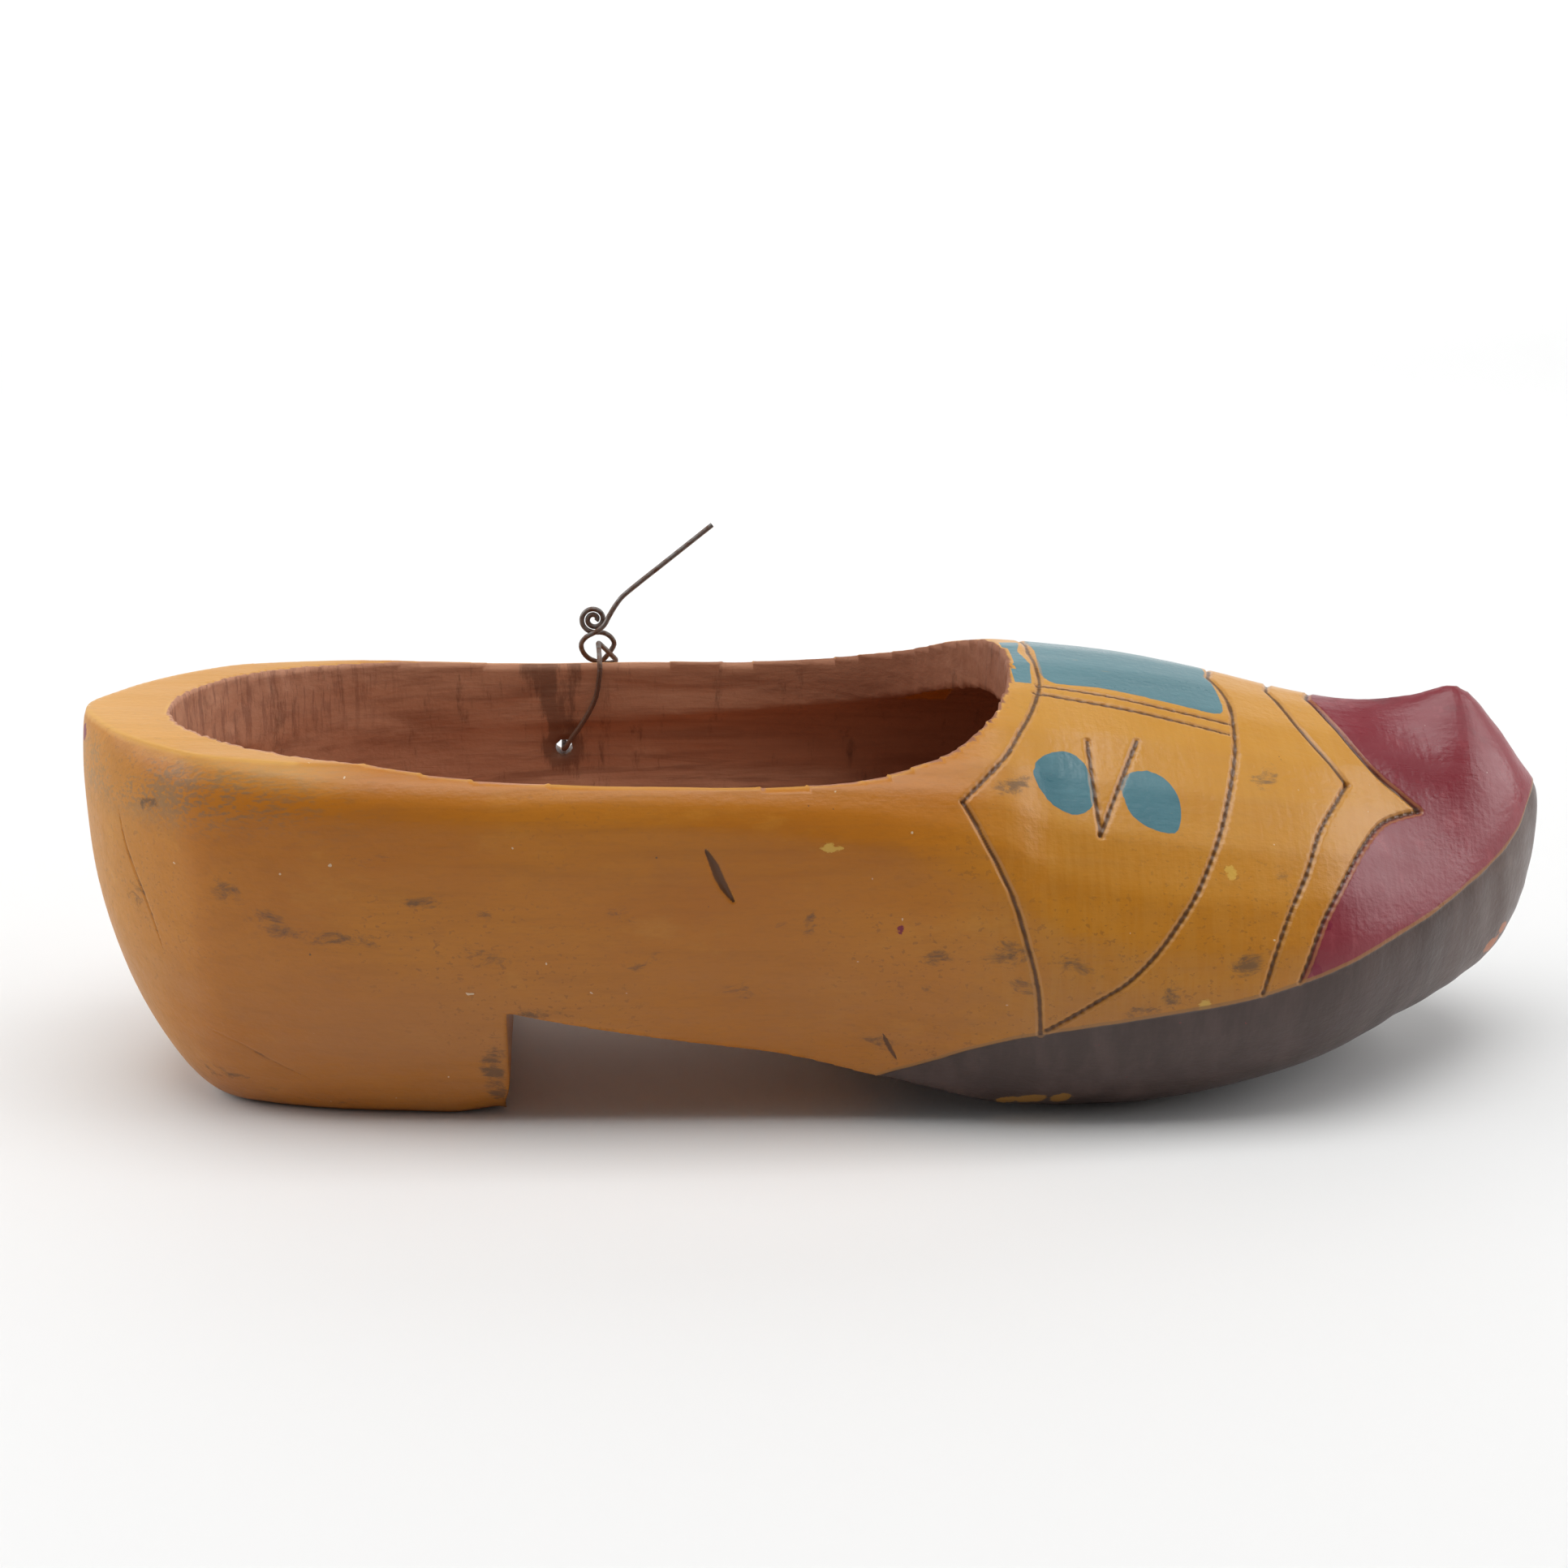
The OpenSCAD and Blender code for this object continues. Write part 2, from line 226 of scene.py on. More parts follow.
# Outlines of the blue shapes, in the same distance and angle as LINES
STRAP = [(40.6, 90), (41, 76.5), (52, 75), (64, 73), (73.5, 71.5), (75.6, 72.5), (76.4, 76),
         (76.2, 84), (75.4, 90)]
LEAVES = [
    [(34.6, 47), (36, 50.5), (39, 53), (42.5, 53.5), (45, 51), (46.2, 46.5), (46.4, 42), (45, 39),
     (42.2, 37.7), (39, 39), (36, 42.5)],
    [(51.6, 44.5), (53, 48), (56, 49.6), (59.4, 49), (61.8, 46), (63, 42), (62.8, 37.5), (61.6, 33.8),
     (58.6, 34), (55.4, 35.6), (52.8, 38.8)],
]


def on_surface(x_mm, angle, side):
    """The outer surface point at that distance and angle."""
    a = math.radians(angle)
    way = Vector((0, side * math.cos(a), math.sin(a)))
    centre = Vector((x_mm * MM, 0, AXIS_Z))
    hit = cad_tree.ray_cast(centre + way * 0.2, -way)
    return hit[0] if hit[0] is not None else centre + way * 40 * MM


def surface_line(points, steps=14):
    flat = catmull(points, steps)
    return [[on_surface(x, a, side) for x, a in flat] for side in (-1, 1)]


def line_tree(lines):
    """A tree of points about 0.3 mm apart along the lines, so that an index is a length along them."""
    points = []
    for line in lines:
        for a, b in zip(line[:-1], line[1:]):
            count = max(1, int((b - a).length / (0.3 * MM)))
            points += [a.lerp(b, i / count) for i in range(count)]
        points.append(line[-1])
    tree = KDTree(len(points))
    for i, p in enumerate(points):
        tree.insert(p, i)
    tree.balance()
    return tree


line_trees = {name: line_tree(surface_line(points)) for name, points in LINES.items()}


def side_height_line(points, side):
    """A line given by distance and height, laid on the side of the clog."""
    out = []
    for x, z in catmull(points, 10):
        start = Vector((min(x, 146.2) * MM, side * 0.2, max(z, 0.3) * MM))
        hit = cad_tree.ray_cast(start, Vector((0, -side, 0)))
        if hit[0] is not None:
            out.append(hit[0])
    return out


sole_tree = line_tree([side_height_line(SOLE_EDGE, side) for side in (-1, 1)])
scratch_trees = [(line_tree([side_height_line(points, -1)]), *size) for points, *size in SCRATCHES]
strap_tree = line_tree(surface_line(STRAP, 10))
leaf_trees = [line_tree(surface_line(leaf + leaf[:1], 8)) for leaf in LEAVES]
HOLE_X, HOLE_Z = -53.6, 53.4          # the drilled hole in the inner wall, in mm


def nearest(tree, points):
    return np.array([tree.find(Vector(p))[2] for p in points])


# Split the mesh finely beside the lines, so that they are cut as real grooves
cut_trees = list(line_trees.values()) + [sole_tree] + [tree for tree, *_ in scratch_trees]
split_near(block, cut_trees, GROOVE_REACH)
split_near(block, cut_trees, GROOVE_REACH_FINE)
mesh = block.data
coords, normals = vertex_array(mesh), normal_array(mesh)

# ---------------------------------------------------------------- where each vertex is
FAR = 0.02                            # a distance that counts as nowhere near, in metres
x_mm, y_mm, z_mm = (coords / MM).T
angle = np.degrees(np.arctan2(z_mm - AXIS_Z / MM, np.abs(y_mm)))


def how_inside():
    """1 in the foot hollow and 0 on the outer surface, with a soft change round the rim's inner edge."""
    wall = (coords[:, 2] > 0.055) & (coords[:, 0] < 0.036)
    centre = np.column_stack([
        np.clip(coords[:, 0], -0.112, np.where(wall, -0.010, 0.1)), np.zeros(len(coords)),
        np.where(wall, coords[:, 2], np.where(coords[:, 0] > 0.034, 0.042, 0.050))])
    way = centre - coords
    way /= np.linalg.norm(way, axis=1)[:, None]
    ceiling = ((coords[:, 0] > 0.028) & (coords[:, 0] < 0.060) & (coords[:, 2] > 0.050)
               & (normals[:, 2] < -0.25) & (np.abs(coords[:, 1]) < 0.036))
    return np.maximum(ramp((way * normals).sum(axis=1), 0.28, 0.60), ceiling)


inside = how_inside()
# The flat rim counts as outside
outer = inside < 0.5


def polygon_test(points, px, py):
    """True where (px, py) is inside the closed outline."""
    hit = np.zeros(len(px), bool)
    q = np.array(points, float)
    for (ax, ay), (bx, by) in zip(q, np.roll(q, -1, 0)):
        crosses = (ay > py) != (by > py)
        with np.errstate(divide="ignore", invalid="ignore"):
            at = ax + (py - ay) * (bx - ax) / (by - ay)
        hit ^= crosses & (px < at)
    return hit


def distance_to(tree, mask):
    out = np.full(len(coords), FAR)
    for i in np.nonzero(mask)[0]:
        out[i] = tree.find(Vector(coords[i]))[2]
    return out


front = outer & (x_mm > -4)
dist = {name: distance_to(tree, front) for name, tree in line_trees.items()}
strap_dist = distance_to(strap_tree, front)
leaf_dist = np.minimum(distance_to(leaf_trees[0], front), distance_to(leaf_trees[1], front))

# Signed distances, positive inside the painted shape
toe_line = catmull(LINES["toe_cap"], 10)[:-1].tolist() + catmull(LINES["toe_cap_low"], 10).tolist()
toe_area = toe_line + [(84, -95), (200, -95), (200, 95), (96.5, 95)]
in_toe = polygon_test(toe_area, x_mm, angle)
toe_signed = np.where(in_toe, 1, -1) * np.minimum(dist["toe_cap"], dist["toe_cap_low"])
sole_x, sole_z = catmull(SOLE_EDGE, 10).T
back_x, back_z = catmull(SOLE_BACK, 10).T
below_edge = (np.interp(x_mm, sole_x, sole_z) - z_mm) * 0.93
ahead_of_back = (x_mm - np.interp(-z_mm, -back_z, back_x)) * 0.4
sole_signed = np.where(outer, np.minimum(below_edge, ahead_of_back), -20) * MM
strap_area = catmull(STRAP, 10).tolist() + [(75.4, 95), (40.6, 95)]
strap_signed = np.where(polygon_test(strap_area, x_mm, angle) & outer, 1, -1) * strap_dist
in_leaf = np.zeros(len(coords), bool)
for leaf in LEAVES:
    in_leaf |= polygon_test(catmull(leaf + leaf[:1], 8), x_mm, angle)
leaf_signed = np.where(in_leaf & outer, 1, -1) * leaf_dist
lip_limit = np.interp(angle, [40, 60, 74, 83, 90], [29, 34, 37.6, 38.4, 37])
# Blue lip between the opening and the collar, wider down the near side than the far one
LIP_BACK, LIP_ANGLE_NEAR, LIP_ANGLE_FAR = 29.5, 74.5, 82
lip_low = (angle - np.where(y_mm < 0, LIP_ANGLE_NEAR, LIP_ANGLE_FAR)) * 0.8
lip_signed = np.minimum(np.minimum(lip_limit - x_mm, x_mm - LIP_BACK), lip_low) * MM
lip_signed = np.where(outer, lip_signed, -FAR)

# ---------------------------------------------------------------- carve the surface
# All in mm; a negative push goes into the wood
WIDE_CUT, NARROW_CUT = 0.85, 0.6      # half the width of a cut line, and of a shallow one
HAND_UNEVENNESS, RIPPLE = 0.30, 0.10
BAND_STEP = 0.3                       # how far the brown band stands back
STROKE_DEPTH = 0.35                   # knife strokes on the band at the toe
CORNER_WEAR = 1.3                     # at the heel's front bottom corner
GOUGE_DEPTH, FIBRE_DEPTH = 0.55, 0.55

push = np.zeros(len(coords))
groove = np.full(len(coords), FAR)
for name, d in dist.items():
    depth = LINE_DEPTH.get(name, USUAL_DEPTH) * MM
    half = (NARROW_CUT if depth < 0.5 * MM else WIDE_CUT) * MM
    # Cut in short nicks, so the depth comes and goes along the line
    nick = 0.8 + 0.2 * np.sin(x_mm * 3.1 + z_mm * 2.6)
    push -= depth * nick * np.clip(1 - d / half, 0, 1) ** 0.8
    groove = np.minimum(groove, d * (1.4 if name.startswith("strap") else 1.0) / (0.75 + 0.25 * nick))

# A hand-carved surface is never quite even
hand = smooth_noise(coords, 0.035, 1) * HAND_UNEVENNESS + smooth_noise(coords, 0.012, 2) * RIPPLE
push += np.where(outer, hand, 0) * MM
scratch = np.zeros(len(coords))
for tree, width, depth, darkness in scratch_trees:
    # The last point of the line, as a sample of the near side's vertices finds it
    count = max(tree.find(Vector(c))[1] for c in coords[(coords[:, 1] < 0)][::40]) + 1
    for i in np.nonzero(outer & (y_mm < 0))[0]:
        _, index, d = tree.find(Vector(coords[i]))
        if d < width * MM:
            # Pointed at both ends
            wide = width * (0.25 + 0.75 * math.sin(math.pi * min(index / count, 1)))
            cut = max(0.0, 1 - d / MM / wide)
            push[i] -= depth * MM * cut
            scratch[i] = max(scratch[i], darkness * min(1.0, 1.6 * cut))

# The brown band stands back a little from the paint above it, along a shallow step
push -= BAND_STEP * MM * ramp(sole_signed, -0.0002, 0.0006) * (x_mm > 0)
# Knife strokes down the band at the toe
stroke = smooth_noise(np.column_stack([angle * 0.02 + x_mm * 0.16, z_mm * 0.02, y_mm * 0.12]), 1.0, 12)
push += STROKE_DEPTH * MM * stroke * (sole_signed > 0) * ramp(x_mm, 85, 115)
# The heel's front bottom corner is worn round and ragged
worn_corner = ramp(x_mm, -76, -65) * ramp(-z_mm, -9, -1) * (x_mm < -55)
push -= (CORNER_WEAR + 0.5 * smooth_noise(coords, 0.003, 14)) * MM * worn_corner

# Gouge marks inside, along the length
gouge = np.abs(np.sin(np.radians(angle) * 9 + 1.7 * smooth_noise(coords, 0.03, 5))) ** 0.6
gouge = (gouge - 0.6) * 0.9 + 0.35 * smooth_noise(coords * np.array([0.35, 1, 1]), 0.006, 6)
near_array = nearest(sharp_tree, coords)
push += inside * gouge * GOUGE_DEPTH * MM * ramp(near_array, 0.5 * MM, 6 * MM)

# Torn fibres on the rim, at the heel end and at the front
fibre = smooth_noise(coords * np.array([1, 1, 0.12]), 0.0014, 9)
rim_end = ramp(-x_mm, 80, 112) + ramp(x_mm, 16, 28)
push += fibre * FIBRE_DEPTH * MM * rim_end * inside * (z_mm > 60) * (1 - ramp(near_array, 2 * MM, 7 * MM))

coords = coords + normals * push[:, None]
coords[:, 2] = np.maximum(coords[:, 2], 0)    # nothing goes below the floor
mesh.vertices.foreach_set("co", coords.ravel())
mesh.update()


# ---------------------------------------------------------------- values that the materials read
def store(name, values):
    layer = mesh.attributes.new(name, "FLOAT", "POINT")
    layer.data.foreach_set("value", np.ascontiguousarray(values, dtype=np.float32))


store("hollow", inside)
store("toe", toe_signed / MM)
store("sole", np.where(outer, sole_signed, -FAR) / MM)
store("strap", strap_signed / MM)
store("leaf", leaf_signed / MM)
store("lip", lip_signed / MM)
store("groove", np.where(outer, groove, FAR) / MM)
store("rim", near_array / MM)
store("scratch", scratch)


def spots(places, far_side=False):
    """Soft ellipses on the outer surface. The far side has the same sort of marks in other places."""
    value = np.zeros(len(coords))
    for side in (-1, 1) if far_side else (-1,):
        for x0, z0, length, width, tilt, strength in places:
            if side > 0 and x0 > -60:
                x0, z0, tilt = 6 - 0.82 * x0, z0 + 3 * math.sin(x0), -tilt
            c, d = math.cos(math.radians(tilt)), math.sin(math.radians(tilt))
            lengthwise = (x_mm - x0) * c + (z_mm - z0) * d
            crosswise = (z_mm - z0) * c - (x_mm - x0) * d
            r = np.hypot(lengthwise / (length / 2 + 1.2), crosswise / (width / 2 + 1.2))
            value = np.maximum(value, strength * (1 - ramp(r, 0.25, 1.15)) * (np.sign(y_mm) == side))
    return value * outer


store("dirt", spots(MARKS, far_side=True))
store("chip", spots(CHIPS))
store("wood_chip", spots(WOOD_CHIPS))
# The drip on the back of the heel is placed across the clog instead
heel_drip = (1 - ramp(np.hypot((y_mm + 6.5) / 2.2, (z_mm - 72) / 2.4), 0.25, 1.15)) * (x_mm < -130) * outer
store("drip", np.maximum(spots(DRIPS), heel_drip))
store("fresh", spots(FRESH))
# Dark streak on the inner wall from the rim down to the drilled hole, and painted shade round and inside the
# mouth of the hole
above = np.clip(z_mm - HOLE_Z, 0, 40)
stain_and_hole_shade = 1 - ramp(np.abs(x_mm - HOLE_X + above * 0.12) / (2.2 + above * 0.33), 0.45, 1.1)
hole_mouth_painted_shade = 1 - ramp(np.hypot(x_mm - HOLE_X, z_mm - HOLE_Z), 2.0, 6.5)
store("stain_and_hole_shade", np.maximum(stain_and_hole_shade * (z_mm > HOLE_Z - 1), hole_mouth_painted_shade) * (y_mm > 20) * inside)

for polygon in mesh.polygons:
    polygon.use_smooth = True


# ---------------------------------------------------------------- materials
class Nodes:
    """Short names for building a node tree."""

    def __init__(self, name):
        self.material = bpy.data.materials.new(name)
        self.material.use_nodes = True
        self.tree = self.material.node_tree
        self.shader = self.tree.nodes["Principled BSDF"]

    def new(self, kind, inputs=(), **settings):
        node = self.tree.nodes.new(kind)
        for key, value in settings.items():
            setattr(node, key, value)
        for key, value in dict(inputs).items():
            self.put(node.inputs[key], value)
        return node

    def put(self, socket, value):
        if isinstance(value, bpy.types.NodeSocket):
            self.tree.links.new(value, socket)
        elif socket.type == "RGBA" and len(value) == 3:
            socket.default_value = (*value, 1)
        else:
            socket.default_value = value

    def attribute(self, name):
        return self.new("ShaderNodeAttribute", attribute_name=name).outputs["Fac"]

    def math(self, operation, a, b=0.0, clamp=False):
        return self.new("ShaderNodeMath", {0: a, 1: b}, operation=operation, use_clamp=clamp).outputs[0]

    def step(self, value, low, high):
        node = self.new("ShaderNodeMapRange", {"Value": value, "From Min": low, "From Max": high},
                        interpolation_type="SMOOTHSTEP")
        return node.outputs[0]

    def mix(self, factor, a, b):
        node = self.new("ShaderNodeMix", data_type="RGBA")
        self.put(node.inputs["Factor"], factor)
        self.put(node.inputs[6], a)
        self.put(node.inputs[7], b)
        return node.outputs[2]

    def blend(self, factor, a, b):
        node = self.new("ShaderNodeMix", data_type="FLOAT")
        for i, value in zip((0, 2, 3), (factor, a, b)):
            self.put(node.inputs[i], value)
        return node.outputs[0]

    def noise(self, scale, stretch=(1, 1, 1), detail=4.0, roughness=0.55, distortion=0.0):
        place = self.new("ShaderNodeMapping", {"Vector": self.coordinates, "Scale": stretch})
        node = self.new("ShaderNodeTexNoise", {"Vector": place.outputs[0], "Scale": scale, "Detail": detail,
                                               "Roughness": roughness, "Distortion": distortion})
        return node.outputs["Fac"]


# Colours, as linear red, green and blue
# Ochre paint and its wear
OCHRE_DEEP = (0.440, 0.138, 0.004)
OCHRE_BRIGHT = (0.530, 0.190, 0.008)
OCHRE_BAND = (0.470, 0.170, 0.014)
OCHRE_GRAIN = (0.300, 0.100, 0.009)
OCHRE_FINE_GRAIN = (0.330, 0.120, 0.013)
OCHRE_RUBBED = (0.640, 0.290, 0.040)
OCHRE_AGED = (0.330, 0.120, 0.022)
THIN_OCHRE = (0.600, 0.300, 0.070)
OCHRE_VAMP = (0.470, 0.205, 0.016)
OCHRE_LOW = (0.400, 0.160, 0.050)
DOTS = (0.170, 0.065, 0.018)
HEEL_TOP_PALE = (0.680, 0.360, 0.120)
HEEL_TOP_GRAIN = (0.26, 0.10, 0.02)
GREY_WOOD = (0.170, 0.125, 0.075)
# Painted sheen on faces turned up and on the back of the heel
SHEEN_PALE = (0.720, 0.400, 0.075)
TREAD_WOOD = (0.230, 0.130, 0.070)
SMUDGE = (0.135, 0.070, 0.028)
DIRT = (0.085, 0.058, 0.038)
SPECK = (0.140, 0.070, 0.025)
PALE_FLECK = (0.70, 0.55, 0.36)
# Toe
MAROON_DEEP = (0.190, 0.022, 0.031)
MAROON_BRIGHT = (0.250, 0.035, 0.048)
MAROON_DARK = (0.110, 0.016, 0.022)
MAROON_WORN = (0.34, 0.07, 0.08)
MAROON_FLECK = (0.55, 0.38, 0.33)
# Painted sheen at the toe's point, on the maroon
MAROON_TIP_SHEEN = (0.400, 0.075, 0.090)
# Band
BROWN_DEEP = (0.056, 0.031, 0.025)
BROWN_BRIGHT = (0.086, 0.051, 0.043)
BROWN_WORN = (0.165, 0.095, 0.066)
# Painted sheen at the toe's point, on the brown band
BROWN_TIP_SHEEN = (0.200, 0.130, 0.105)
BROWN_FLECK = (0.20, 0.035, 0.035)
CHIP_OCHRE = (0.33, 0.155, 0.028)
CHIP_WOOD = (0.42, 0.13, 0.04)
# Blue shapes
BLUE_DEEP = (0.040, 0.135, 0.170)
BLUE_BRIGHT = (0.060, 0.178, 0.215)
BLUE_FLAKED = (0.42, 0.24, 0.06)
BLUE_GRAIN = (0.14, 0.32, 0.36)
# Painted sheen on the blue where it faces up
BLUE_SHEEN = (0.150, 0.270, 0.290)
# Bare wood in the hollow
BARE_DEEP = (0.430, 0.185, 0.098)
BARE_LIGHT = (0.590, 0.295, 0.168)
BARE_GRAIN = (0.230, 0.085, 0.042)
BARE_PALE = (0.640, 0.330, 0.190)
BARE_STREAK = (0.150, 0.052, 0.026)
HEEL_FIBRE = (0.150, 0.040, 0.020)
HEEL_PALE = (0.640, 0.330, 0.210)
# Painted shade in the hollow towards the toe
BARE_PAINTED_SHADE = (0.200, 0.064, 0.030)
# Dark streak down to the drilled hole, and painted shade at the hole's mouth
STAIN_AND_HOLE_SHADE = (0.095, 0.040, 0.022)
# Cuts and spots
FRESH_OCHRE = (0.62, 0.36, 0.06)
TREAD_BROWN = (0.190, 0.120, 0.075)
MAROON_DRIP = (0.20, 0.015, 0.035)
SCRIBE = (0.300, 0.140, 0.040)
GROOVE_EDGE = (0.520, 0.260, 0.090)
GROOVE_DARK = (0.085, 0.034, 0.013)
# Wire
WIRE_GREY = (0.210, 0.190, 0.178)
WIRE_RUST = (0.150, 0.078, 0.050)
WIRE_PIT = (0.045, 0.032, 0.027)


def painted_wood():
    n = Nodes("painted_wood")
    n.coordinates = n.new("ShaderNodeTexCoord").outputs["Object"]
    xyz = n.new("ShaderNodeSeparateXYZ", {0: n.coordinates})
    x, y, z = xyz.outputs
    grain = n.noise(420, (0.07, 1, 1), 6, 0.6)
    fine = n.noise(1500, (0.25, 1, 1), 3, 0.6)
    pebble = n.noise(900, (0.8, 1, 0.8), 2, 0.5)
    cuts = n.noise(800, (1, 0.12, 0.12), 2, 0.5)
    cloud = n.noise(20, (0.6, 1, 1), 4, 0.6)
    blotch = n.noise(75, (0.5, 1, 1), 5, 0.65)
    band = n.noise(60, (0.12, 0.6, 1), 3, 0.55)
    speck = n.noise(650, (1, 1, 1), 2, 0.5)
    vamp = n.step(x, 0.012, 0.04)

    def times(a, b):
        return n.math("MULTIPLY", a, b)

    # Ochre paint: thin, browner where the grain and age show through, paler where it is rubbed
    ochre = n.mix(n.step(cloud, 0.3, 0.7), OCHRE_DEEP, OCHRE_BRIGHT)
    ochre = n.mix(times(n.step(band, 0.42, 0.62), 0.40), ochre, OCHRE_BAND)
    ochre = n.mix(times(n.step(grain, 0.45, 0.75), 0.26), ochre, OCHRE_GRAIN)
    ochre = n.mix(times(n.step(fine, 0.45, 0.70), 0.22), ochre, OCHRE_FINE_GRAIN)
    ochre = n.mix(times(n.step(blotch, 0.56, 0.78), 0.40), ochre, OCHRE_RUBBED)
    ochre = n.mix(times(n.step(blotch, 0.45, 0.25), 0.35), ochre, OCHRE_AGED)
    ochre = n.mix(times(times(vamp, n.step(cuts, 0.40, 0.62)), 0.16), ochre, THIN_OCHRE)
    # Yellower on the vamp, browner on the heel block
    ochre = n.mix(times(vamp, 0.35), ochre, OCHRE_VAMP)
    low = times(n.step(z, 0.052, 0.012), n.step(n.noise(40, (0.4, 1, 1), 5, 0.7), 0.34, 0.66))
    ochre = n.mix(times(low, 0.55), ochre, OCHRE_LOW)
    dots = times(n.step(n.noise(1100, (0.7, 1, 1), 2, 0.6), 0.60, 0.68), n.step(cloud, 0.42, 0.60))
    ochre = n.mix(times(dots, 0.40), ochre, DOTS)
    # Rubbed rim and heel top, where the paint is thin over pale wood
    rim = n.attribute("rim")
    edge_wear = times(n.step(n.math("ADD", rim, times(blotch, 1.6)), 2.0, 1.1), n.step(z, 0.055, 0.068))
    ochre = n.mix(times(edge_wear, 0.70), ochre, THIN_OCHRE)
    heel_top = times(n.step(x, -0.075, -0.115), n.step(z, 0.0745, 0.0765))
    ochre = n.mix(times(heel_top, 0.55), ochre, HEEL_TOP_PALE)
    ochre = n.mix(times(times(heel_top, n.step(n.noise(500, (0.1, 1, 1), 4, 0.6), 0.55, 0.66)), 0.4), ochre,
                  HEEL_TOP_GRAIN)
    grey = times(times(n.step(x, -0.080, -0.118), n.step(z, 0.058, 0.067)),
                 times(n.step(z, 0.0755, 0.071), n.step(n.math("ADD", fine, blotch), 0.92, 1.15)))
    ochre = n.mix(times(grey, 0.62), ochre, GREY_WOOD)
    # Painted sheen: paler where it faces up and at the back of the heel, where the light falls
    normal = n.new("ShaderNodeNewGeometry").outputs["True Normal"]
    facing = n.new("ShaderNodeSeparateXYZ", {0: normal}).outputs
    # The walls beside the foot keep their colour up to the rim
    beside = times(n.step(x, -0.105, -0.085), n.step(x, 0.035, 0.020))
    upward_sheen = times(n.step(facing[2], 0.30, 0.95), n.math("SUBTRACT", 1.0, times(beside, 0.85)))
    backward_sheen = times(n.step(facing[0], -0.45, -0.95), 0.6)
    painted_sheen = n.math("MAXIMUM", upward_sheen, backward_sheen)
    ochre = n.mix(times(painted_sheen, 0.42), ochre, SHEEN_PALE)
    # Worn to dirty wood where it stands on the ground
    tread = times(n.step(facing[2], -0.80, -0.97), n.step(z, 0.004, 0.0005))
    tread = times(tread, n.step(n.math("ADD", blotch, times(grain, 0.5)), 0.55, 0.85))
    ochre = n.mix(times(tread, 0.85), ochre, TREAD_WOOD)
    # Dark marks and specks
    ragged = n.noise(330, (0.45, 1, 1), 6, 0.78, 0.5)
    dirt = n.math("ADD", n.attribute("dirt"), times(n.math("SUBTRACT", ragged, 0.5), 3.4))
    dirt = times(n.step(dirt, 0.45, 1.15), n.step(n.attribute("dirt"), 0.02, 0.30))
    smudge = times(n.step(n.noise(44, (0.55, 1, 1.3), 6, 0.72, 0.6), 0.62, 0.72), n.step(ragged, 0.44, 0.62))
    ochre = n.mix(times(smudge, 0.45), ochre, SMUDGE)
    ochre = n.mix(times(dirt, 0.72), ochre, DIRT)
    ochre = n.mix(n.step(speck, 0.775, 0.81), ochre, SPECK)
    ochre = n.mix(times(n.step(n.noise(520, (1, 1, 1), 1, 0.5), 0.80, 0.82), 0.8), ochre, PALE_FLECK)

    maroon = n.mix(n.step(cloud, 0.3, 0.7), MAROON_DEEP, MAROON_BRIGHT)
    maroon = n.mix(times(n.step(blotch, 0.58, 0.70), 0.55), maroon, MAROON_DARK)
    worn = n.step(n.noise(260, (1, 1, 0.4), 4, 0.6), 0.55, 0.70)
    maroon = n.mix(times(worn, 0.35), maroon, MAROON_WORN)
    maroon = n.mix(n.step(speck, 0.77, 0.80), maroon, MAROON_FLECK)
    brown = n.mix(n.step(n.noise(160, (1, 1, 0.15), 5, 0.6), 0.35, 0.7), BROWN_DEEP, BROWN_BRIGHT)
    brown = n.mix(times(n.step(blotch, 0.60, 0.74), 0.4), brown, BROWN_WORN)
    # Painted sheen: paler at the toe's point, where the light from the right falls
    tip_sheen = n.step(x, 0.110, 0.142)
    maroon = n.mix(times(tip_sheen, 0.30), maroon, MAROON_TIP_SHEEN)
    brown = n.mix(times(tip_sheen, 0.35), brown, BROWN_TIP_SHEEN)
    brown = n.mix(times(n.step(speck, 0.74, 0.79), 0.6), brown, BROWN_FLECK)
    wobble = times(n.math("SUBTRACT", ragged, 0.5), 1.6)

    def spot(name):
        return n.step(n.math("ADD", n.attribute(name), wobble), 0.45, 0.58)

    brown = n.mix(spot("chip"), brown, CHIP_OCHRE)
    brown = n.mix(spot("wood_chip"), brown, CHIP_WOOD)
    blue = n.mix(n.step(blotch, 0.35, 0.7), BLUE_DEEP, BLUE_BRIGHT)
    blue = n.mix(times(n.step(n.noise(300, (0.15, 1, 1), 4, 0.7), 0.66, 0.74), 0.8), blue, BLUE_FLAKED)
    blue = n.mix(times(n.step(grain, 0.55, 0.72), 0.25), blue, BLUE_GRAIN)
    # Painted sheen: the blue is paler where it faces up, towards the light
    blue = n.mix(times(n.step(facing[2], 0.55, 0.95), 0.45), blue, BLUE_SHEEN)

